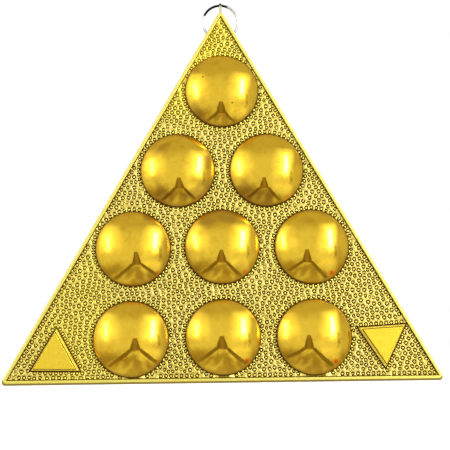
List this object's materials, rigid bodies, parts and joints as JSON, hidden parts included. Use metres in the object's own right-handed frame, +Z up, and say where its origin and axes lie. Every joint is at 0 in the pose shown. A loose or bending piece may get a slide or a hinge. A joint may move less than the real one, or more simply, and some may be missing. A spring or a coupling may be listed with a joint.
{
  "type": "wall plaque",
  "caption": "Triangular brass wall plaque with round polished domes, raised triangles on a beaded ground, and a swinging ring behind its apex to hang it by.",
  "frame": {"origin": "on the wall plane, which is the plane of the plate's back face, under the middle of the plate's lower edge", "axes": "+Z up the plaque to its apex, +X to the right seen from the front, +Y into the wall; the front with its domes faces -Y"},
  "size_m": [0.1506, 0.0102, 0.1337],
  "materials": {
    "cast_brass": "cast lemon-coloured brass, plain bright rim round a ground of punched beads, as cast behind",
    "polished_brass": "mirror polished warm yellow brass",
    "raised_triangle_brass": "satin filed brass",
    "lug_brass": "sawn and filed brass",
    "screw_steel": "zinc plated steel",
    "plated_wire": "nickel plated steel wire"
  },
  "bodies": {
    "plaque": {"base_plate": "cast_brass", "dome_1": "polished_brass", "dome_2": "polished_brass", "dome_3": "polished_brass", "dome_4": "polished_brass", "dome_5": "polished_brass", "dome_6": "polished_brass", "dome_7": "polished_brass", "dome_8": "polished_brass", "dome_9": "polished_brass", "dome_screw_1": "screw_steel", "dome_screw_2": "screw_steel", "dome_screw_3": "screw_steel", "dome_screw_4": "screw_steel", "dome_screw_5": "screw_steel", "dome_screw_6": "screw_steel", "dome_screw_7": "screw_steel", "dome_screw_8": "screw_steel", "dome_screw_9": "screw_steel", "upright_triangle": "raised_triangle_brass", "inverted_triangle": "raised_triangle_brass", "upright_triangle_screw": "screw_steel", "inverted_triangle_screw": "screw_steel", "hanger_lug": "lug_brass"},
    "ring": {"hanging_ring": "plated_wire"}
  },
  "joints": [
    {"name": "ring_swing", "type": "hinge", "parent": "plaque", "child": "ring", "pos_m": [0, -0.0017, 0.1329], "axis": [1, 0, 0], "range_deg": [0, 180]}
  ]
}
